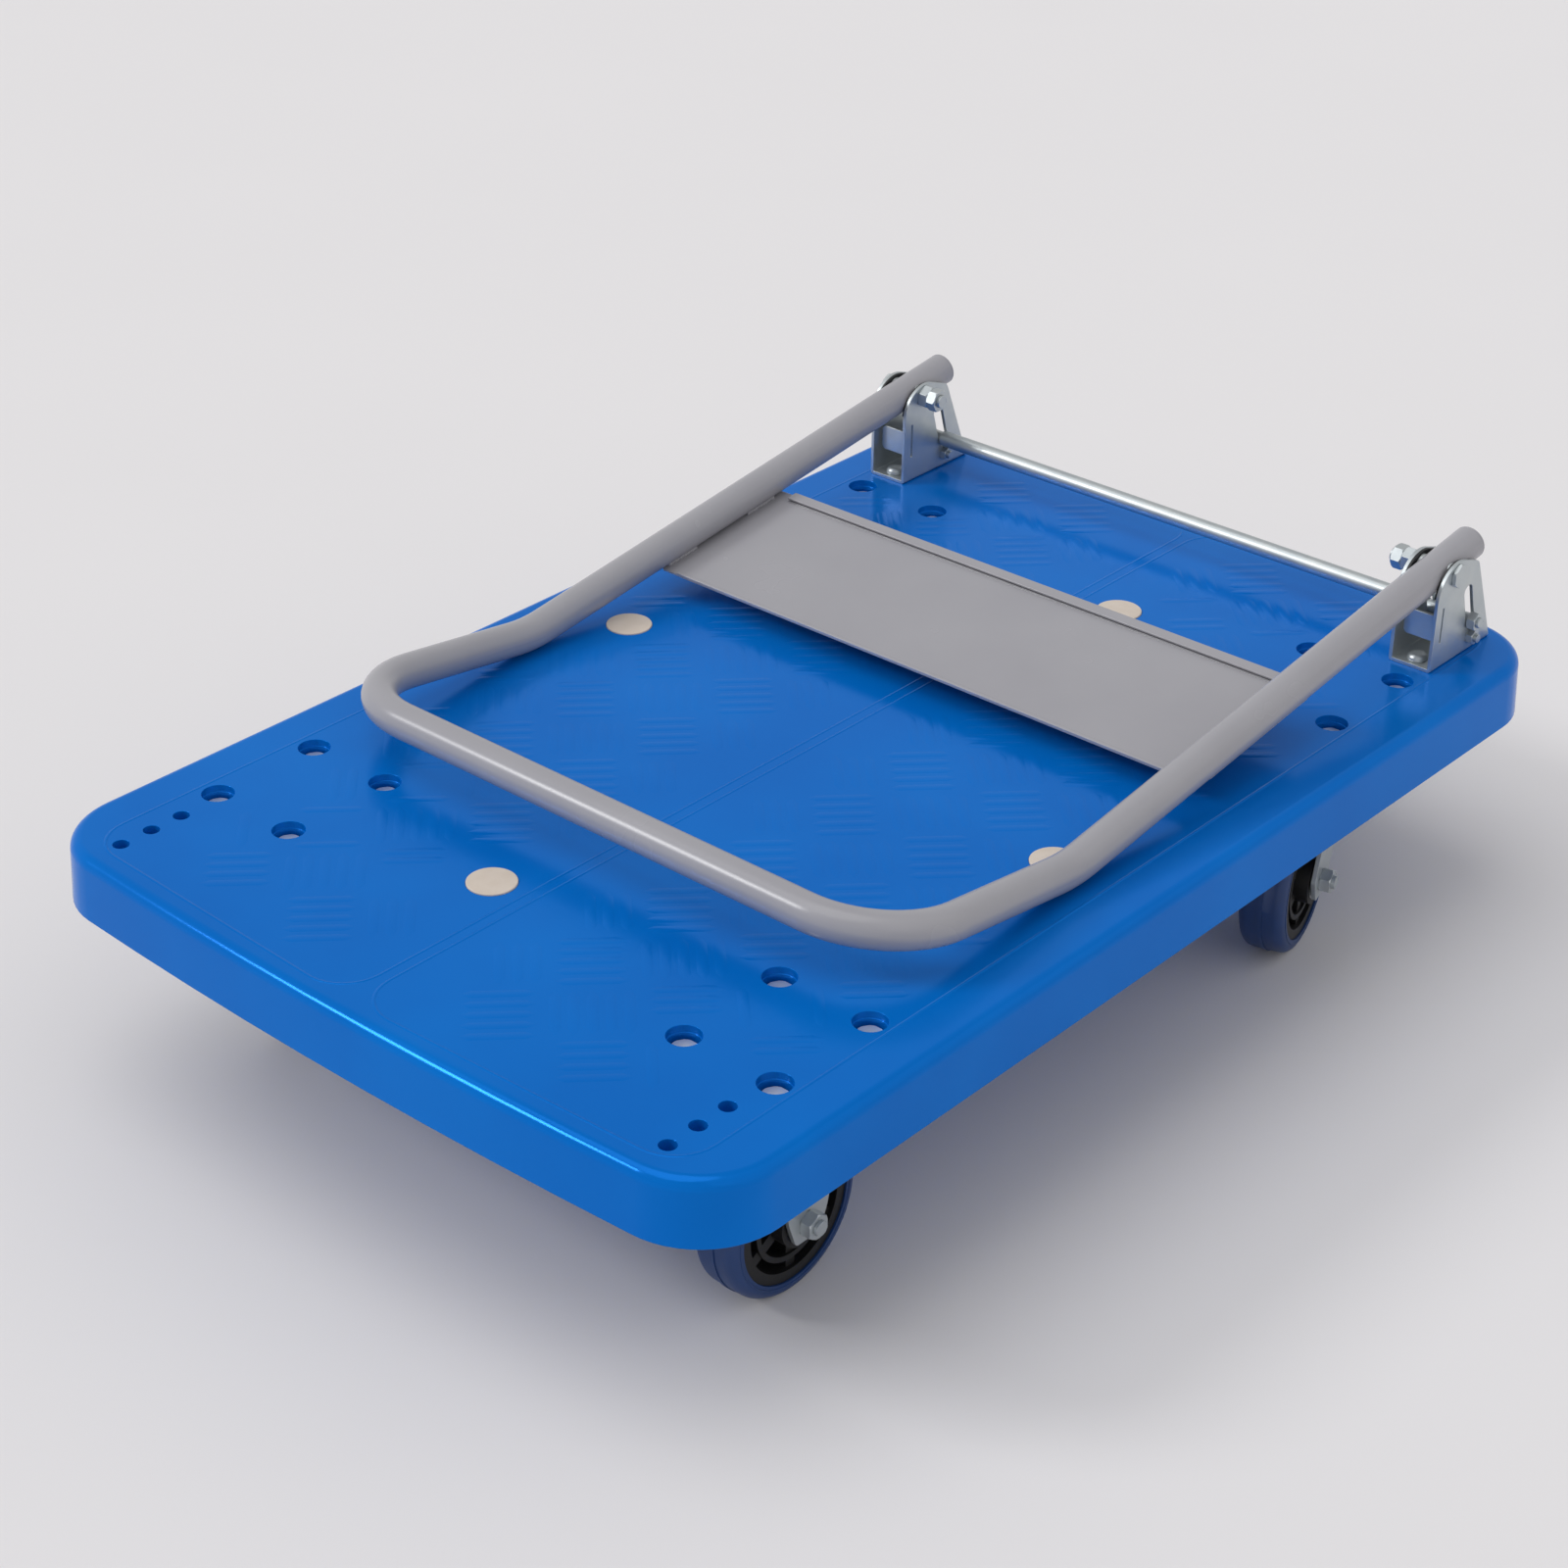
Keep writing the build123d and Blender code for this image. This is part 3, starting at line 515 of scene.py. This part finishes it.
# Weld seams: overlapping flattened beads, each turned and sized a little differently
def weld_tree():
    tree, given = start_growth("weld_beads", {"Bead Radius": number, "Seed": whole_number})
    bead = put(tree, "GeometryNodeMeshIcoSphere", {"Radius": given["Bead Radius"], "Subdivisions": 2})
    turn = put(
        tree, "FunctionNodeRandomValue",
        {"Min": (0.0, 0.0, 0.0), "Max": (0.5, 0.5, math.tau), "Seed": given["Seed"]},
        data_type="FLOAT_VECTOR",
    )
    size = put(
        tree, "FunctionNodeRandomValue",
        {"Min": (0.85, 0.85, 0.75), "Max": (1.15, 1.15, 0.95), "Seed": given["Seed"]},
        data_type="FLOAT_VECTOR",
    )
    laid = put(
        tree, "GeometryNodeInstanceOnPoints",
        {
            "Points": given["Start"],
            "Instance": bead.outputs[0],
            "Rotation": turn.outputs[0],
            "Scale": size.outputs[0],
        },
    )
    return end_growth(tree, given, laid.outputs[0])


# Screw threads: a helical crest starting at each point and running along its axis
def thread_tree():
    tree, given = start_growth("thread_crests", {"Radius": number, "Length": number, "Pitch": number})
    turns = put(tree, "ShaderNodeMath", {0: given["Length"], 1: given["Pitch"]}, operation="DIVIDE")
    helix = put(
        tree, "GeometryNodeCurveSpiral",
        {
            "Resolution": 18,
            "Rotations": turns.outputs[0],
            "Start Radius": given["Radius"],
            "End Radius": given["Radius"],
            "Height": given["Length"],
        },
    )
    crest = put(tree, "ShaderNodeMath", {0: given["Pitch"], 1: 0.3}, operation="MULTIPLY").outputs[0]
    section = put(tree, "GeometryNodeCurvePrimitiveCircle", {"Resolution": 4, "Radius": crest})
    thread = put(
        tree, "GeometryNodeCurveToMesh",
        {"Curve": helix.outputs[0], "Profile Curve": section.outputs[0], "Fill Caps": True},
    )
    laid = put(
        tree, "GeometryNodeInstanceOnPoints",
        {"Points": given["Start"], "Instance": thread.outputs[0], "Rotation": kept_facing(tree)},
    )
    return end_growth(tree, given, laid.outputs[0])


# Mould rings: a thin round bead about each point's axis
def ring_tree():
    tree, given = start_growth("mould_rings", {"Radius": number, "Bead Radius": number})
    circle = put(tree, "GeometryNodeCurvePrimitiveCircle", {"Resolution": 72, "Radius": given["Radius"]})
    section = put(tree, "GeometryNodeCurvePrimitiveCircle", {"Resolution": 6, "Radius": given["Bead Radius"]})
    bead = put(
        tree, "GeometryNodeCurveToMesh",
        {"Curve": circle.outputs[0], "Profile Curve": section.outputs[0]},
    )
    laid = put(
        tree, "GeometryNodeInstanceOnPoints",
        {"Points": given["Start"], "Instance": bead.outputs[0], "Rotation": kept_facing(tree)},
    )
    return end_growth(tree, given, laid.outputs[0])


# Deck top: two moulded fields, left and right, bordered by a thin line and filled with anti-slip bars
field_inner = 3.5 * mm
field_outer = 210 * mm
field_margin = 13.5 * mm
field_corner = 24 * mm
field_middle = (field_inner + field_outer) / 2
bar_length = 54 * mm
bar_width = 11 * mm
bar_depth = 1.0 * mm
bar_height = 0.11 * mm
bar_pitch = 9 * mm
bars_in_cell = 5
bar_turns = (math.radians(45), math.radians(135))
bar_stations = (-1, -0.6, -0.2, 0.2, 0.6, 1)
cells_each_way = 14
corner_steps = 8
border_line = {"Width": 2.6 * mm, "Flatness": 0.45, "Height": deck_top - 0.4 * mm}
bracket_clearance = 40 * mm
hole_clearance = bar_width * 0.6
bare_places = [(Vector((side * leg_x, bracket_middle_y, 0)), bracket_clearance) for side in (-1, 1)]
bare_places += [(place, caster_recess_radius + hole_clearance) for place in caster_holes]
bare_places += [(place, front_hole_radius + hole_clearance) for place in front_holes]
bare_places += [(place, plug_radius + hole_clearance) for place in plug_places]


def field_end(x):
    """How far a field reaches along Y at one width, following the bowed end of the deck."""
    return deck_half_length - deck_end_bow * (x / deck_half_width) ** 2 - field_margin


def field_outline(side):
    """Rounded border of one field, as points round the loop."""
    middles = [
        (field_inner + field_corner, -1, 180, 270),
        (field_outer - field_corner, -1, 270, 360),
        (field_outer - field_corner, 1, 0, 90),
        (field_inner + field_corner, 1, 90, 180),
    ]
    points = []
    for x, end, first, last in middles:
        y = end * (field_end(field_outer if x > field_middle else x) - field_corner)
        for step in range(corner_steps + 1):
            angle = math.radians(first + (last - first) * step / corner_steps)
            points.append(Vector((x + field_corner * math.cos(angle), y + field_corner * math.sin(angle), 0)))
    return [Vector((side * p.x, p.y, 0)) for p in points]


def bar_fits(point):
    """Whether a point lies inside a field and clear of holes, plugs and brackets."""
    edge = bar_width / 2
    x = abs(point.x)
    if not field_inner + edge < x < field_outer - edge or abs(point.y) > field_end(x) - edge:
        return False
    corner = Vector((field_outer - field_corner, field_end(field_outer) - field_corner, 0))
    past = Vector((x, abs(point.y), 0)) - corner
    if past.x > 0 and past.y > 0 and past.length > field_corner - edge:
        return False
    return all((point - place).length > clear for place, clear in bare_places)


def make_deck_relief():
    """Border lines and anti-slip bars on the deck top."""
    points = []
    edges = []
    for side in (-1, 1):
        first = len(points)
        loop = field_outline(side)
        points += loop
        edges += [(first + i, first + (i + 1) % len(loop)) for i in range(len(loop))]
    border = start_mesh("deck_field_border", points, edges=edges)
    grow(line_tree(), border, "deck", "deck_plastic", border_line)

    cell = bars_in_cell * bar_pitch
    diagonal = math.sqrt(0.5)
    points = []
    turns = []
    for i in range(-cells_each_way, cells_each_way + 1):
        for j in range(-cells_each_way, cells_each_way + 1):
            across = (i + j) % 2
            for k in range(bars_in_cell):
                shift = (k - (bars_in_cell - 1) / 2) * bar_pitch
                u = i * cell + (shift if across else 0)
                v = j * cell + (0 if across else shift)
                place = Vector(((u - v) * diagonal, (u + v) * diagonal, 0))
                turn = bar_turns[across]
                reach = Vector((math.cos(turn), math.sin(turn), 0)) * (bar_length / 2)
                if all(bar_fits(place + reach * part) for part in bar_stations):
                    points.append(place + Vector((0, 0, deck_top + bar_height - bar_depth / 2)))
                    turns.append(turn)
    bars = start_mesh("deck_anti_slip_bars", points, turns=turns)
    sizes = {"Length": bar_length, "Width": bar_width, "Flatness": bar_depth / bar_width}
    grow(bar_tree(), bars, "deck", "deck_plastic", sizes)


def on_leg(side, distance, inward, height):
    """Point beside a handle leg: its distance forward of the pivot, its offset inward and its height."""
    along = Vector((0, -math.cos(leg_slope), -math.sin(leg_slope)))
    rise = Vector((0, -math.sin(leg_slope), math.cos(leg_slope)))
    return pivot + along * distance + rise * height + Vector((side * (leg_x - inward), 0, 0))


# Weld runs: two short ones where each leg lies on the panel
weld_starts = (139 * mm, 210 * mm)
weld_beads = 11
weld_pitch = 2.2 * mm
weld_inset = 5.0 * mm
weld_height = -8.9 * mm
weld_sizes = {"Bead Radius": 1.9 * mm, "Seed": 4}


def make_welds():
    """Weld beads along both legs, moving with the handle."""
    beads = [
        on_leg(side, start + step * weld_pitch, weld_inset, weld_height)
        for side in (-1, 1)
        for start in weld_starts
        for step in range(weld_beads)
    ]
    grow(weld_tree(), start_mesh("panel_weld_seams", beads), "handle", "handle_paint", weld_sizes)


def wheel_centre(name):
    """Middle of one wheel, behind its swivel at the rear."""
    place = caster_places[name] + Vector((0, 0, axle_height))
    if "rear" in name:
        place += Vector((math.sin(swivel_yaw), -math.cos(swivel_yaw), 0)) * swivel_trail
    return place


# Thread crests on the bolt and rod ends that stand out of their nuts
m8_thread = {"Radius": 3.9 * mm, "Length": 1.8 * mm, "Pitch": 1.0 * mm}
m6_thread = {"Radius": 2.9 * mm, "Length": 1.4 * mm, "Pitch": 0.8 * mm}


def make_threads():
    """Crests on the pivot, axle and rod ends, one piece for each body."""
    tree = thread_tree()
    pivot_reach = bracket_half_width + pivot_nut_reach
    points = [pivot + Vector((side * (leg_x - pivot_reach), 0, 0)) for side in (-1, 1)]
    axes = [Vector((-side, 0, 0)) for side in (-1, 1)]
    for name in ("front_left", "front_right"):
        axis = Vector((1 if "right" in name else -1, 0, 0))
        points.append(wheel_centre(name) + axis * axle_nut_reach)
        axes.append(axis)
    grow(tree, start_mesh("deck_bolt_threads", points, axes=axes), "deck", "zinc_steel", m8_thread)
    for name in ("rear_left", "rear_right"):
        side = 1 if "right" in name else -1
        axis = Vector((math.cos(swivel_yaw), math.sin(swivel_yaw), 0)) * side
        end = wheel_centre(name) + axis * axle_nut_reach
        thread = start_mesh("axle_threads_" + name, [end], axes=[axis])
        grow(tree, thread, "swivel_" + name, "zinc_steel", m8_thread)
    low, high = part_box("lock_rod")
    middle = (Vector(low) + Vector(high)) / 2
    starts = (low[0] + rod_thread_length, high[0] - rod_thread_length)
    ends = [Vector((x, middle.y, middle.z)) for x in starts]
    rod = start_mesh("lock_rod_threads", ends, axes=[Vector((-1, 0, 0)), Vector((1, 0, 0))])
    grow(tree, rod, "lock_rod", "zinc_steel", m6_thread)


# Tyre faces: one raised mould ring on each side
ring_sizes = {"Radius": 40.3 * mm, "Bead Radius": 0.45 * mm}


def make_tyre_rings():
    """Rings on both faces of every tyre, turning with its wheel."""
    tree = ring_tree()
    for name in caster_places:
        yaw = swivel_yaw if "rear" in name else 0.0
        axis = Vector((math.cos(yaw), math.sin(yaw), 0))
        faces = [wheel_centre(name) + axis * tyre_half_width * side for side in (-1, 1)]
        rings = start_mesh("tyre_mould_rings_" + name, faces, axes=[axis, axis])
        grow(tree, rings, "wheel_" + name, "tyre_rubber", ring_sizes)


make_deck_relief()
make_welds()
make_threads()
make_tyre_rings()


# Studio: wide pale floor and room, small key lamp at the front left, broad lamps overhead and on the right
floor_reach = 60.0
room_strength = 0.555
# Brightness of the room by height, from the horizon at 0 to straight overhead at 1
room_levels = [(0.0, 1.36), (0.04, 1.2), (0.28, 1.05), (0.6, 1.05), (0.8, 0.8), (1.0, 0.8)]
room_coolness = 1.01
lamps = {
    "key": {"energy": 0.92, "spread": 15, "from": Vector((-0.588, -0.57, 0.573))},
    "overhead": {"energy": 0.76, "spread": 50, "from": Vector((-0.18, -0.20, 0.96))},
    "right_fill": {"energy": 0.28, "spread": 75, "from": Vector((0.70, 0.20, 0.69))},
}


# Matt floor paint: pale neutral grey with very faint clouds
def make_floor():
    material, tree = start_material("painted_studio_floor")
    place = put(tree, "ShaderNodeTexCoord").outputs["Object"]
    cloud = put(tree, "ShaderNodeTexNoise", {"Vector": place, "Scale": 1 / (300 * mm), "Detail": 2.0})
    tone = put(
        tree, "ShaderNodeMix",
        {mix_share: cloud.outputs["Fac"], mix_first: linear("#e3e1e2"), mix_second: linear("#e5e3e4")},
        data_type="RGBA",
    )
    paint = put(
        tree, "ShaderNodeBsdfPrincipled",
        {"Base Color": tone.outputs[mix_result], "Roughness": 0.9, "Specular IOR Level": 0.1},
    )
    put(tree, "ShaderNodeOutputMaterial", {"Surface": paint.outputs[0]})
    mesh = bpy.data.meshes.new("studio_floor")
    corners = [(x * floor_reach, y * floor_reach, 0) for x, y in ((-1, -1), (1, -1), (1, 1), (-1, 1))]
    mesh.from_pydata(corners, [], [(0, 1, 2, 3)])
    mesh.materials.append(material)
    floor = bpy.data.objects.new("studio_floor", mesh)
    bpy.context.collection.objects.link(floor)


def make_light():
    """Even light from the whole room, and the lamps."""
    world = bpy.data.worlds.new("studio_light")
    bpy.context.scene.world = world
    world.use_nodes = True
    tree = world.node_tree
    tree.nodes.clear()
    direction = put(tree, "ShaderNodeTexCoord").outputs["Generated"]
    height = put(tree, "ShaderNodeSeparateXYZ", {"Vector": direction}).outputs["Z"]
    room = put(tree, "ShaderNodeValToRGB", {0: height})
    stops = room.color_ramp.elements
    while len(stops) < len(room_levels):
        stops.new(1.0)
    for stop, (position, level) in zip(stops, room_levels):
        stop.position = position
        stop.color = (level, level, level * room_coolness, 1.0)
    glow = put(tree, "ShaderNodeBackground", {"Color": room.outputs[0], "Strength": room_strength})
    put(tree, "ShaderNodeOutputWorld", {"Surface": glow.outputs[0]})
    for name, setting in lamps.items():
        light = bpy.data.lights.new(name, "SUN")
        light.energy = setting["energy"]
        light.angle = math.radians(setting["spread"])
        lamp = bpy.data.objects.new(name, light)
        bpy.context.collection.objects.link(lamp)
        lamp.rotation_mode = "QUATERNION"
        lamp.rotation_quaternion = setting["from"].to_track_quat("Z", "Y")


def make_camera():
    """Camera that sees the cart as the photograph does."""
    back = Vector((
        math.sin(view_azimuth) * math.cos(view_elevation),
        -math.cos(view_azimuth) * math.cos(view_elevation),
        math.sin(view_elevation),
    ))
    level = Vector((math.cos(view_azimuth), math.sin(view_azimuth), 0))
    rise = back.cross(level)
    right = level * math.cos(view_roll) + rise * math.sin(view_roll)
    up = rise * math.cos(view_roll) - level * math.sin(view_roll)
    lens = bpy.data.cameras.new("photo_view")
    lens.sensor_width = sensor_width
    lens.lens = lens_length
    lens.shift_x, lens.shift_y = frame_shift
    lens.clip_start = clip_near
    lens.clip_end = clip_far
    camera = bpy.data.objects.new("photo_view", lens)
    bpy.context.collection.objects.link(camera)
    place = view_focus + back * view_distance + right * view_slide[0] + up * view_slide[1]
    turn = Matrix((right, up, back)).transposed()
    camera.matrix_world = Matrix.LocRotScale(place, turn, None)
    bpy.context.scene.camera = camera


make_floor()
make_light()
make_camera()
bpy.context.scene.view_settings.view_transform = "Standard"
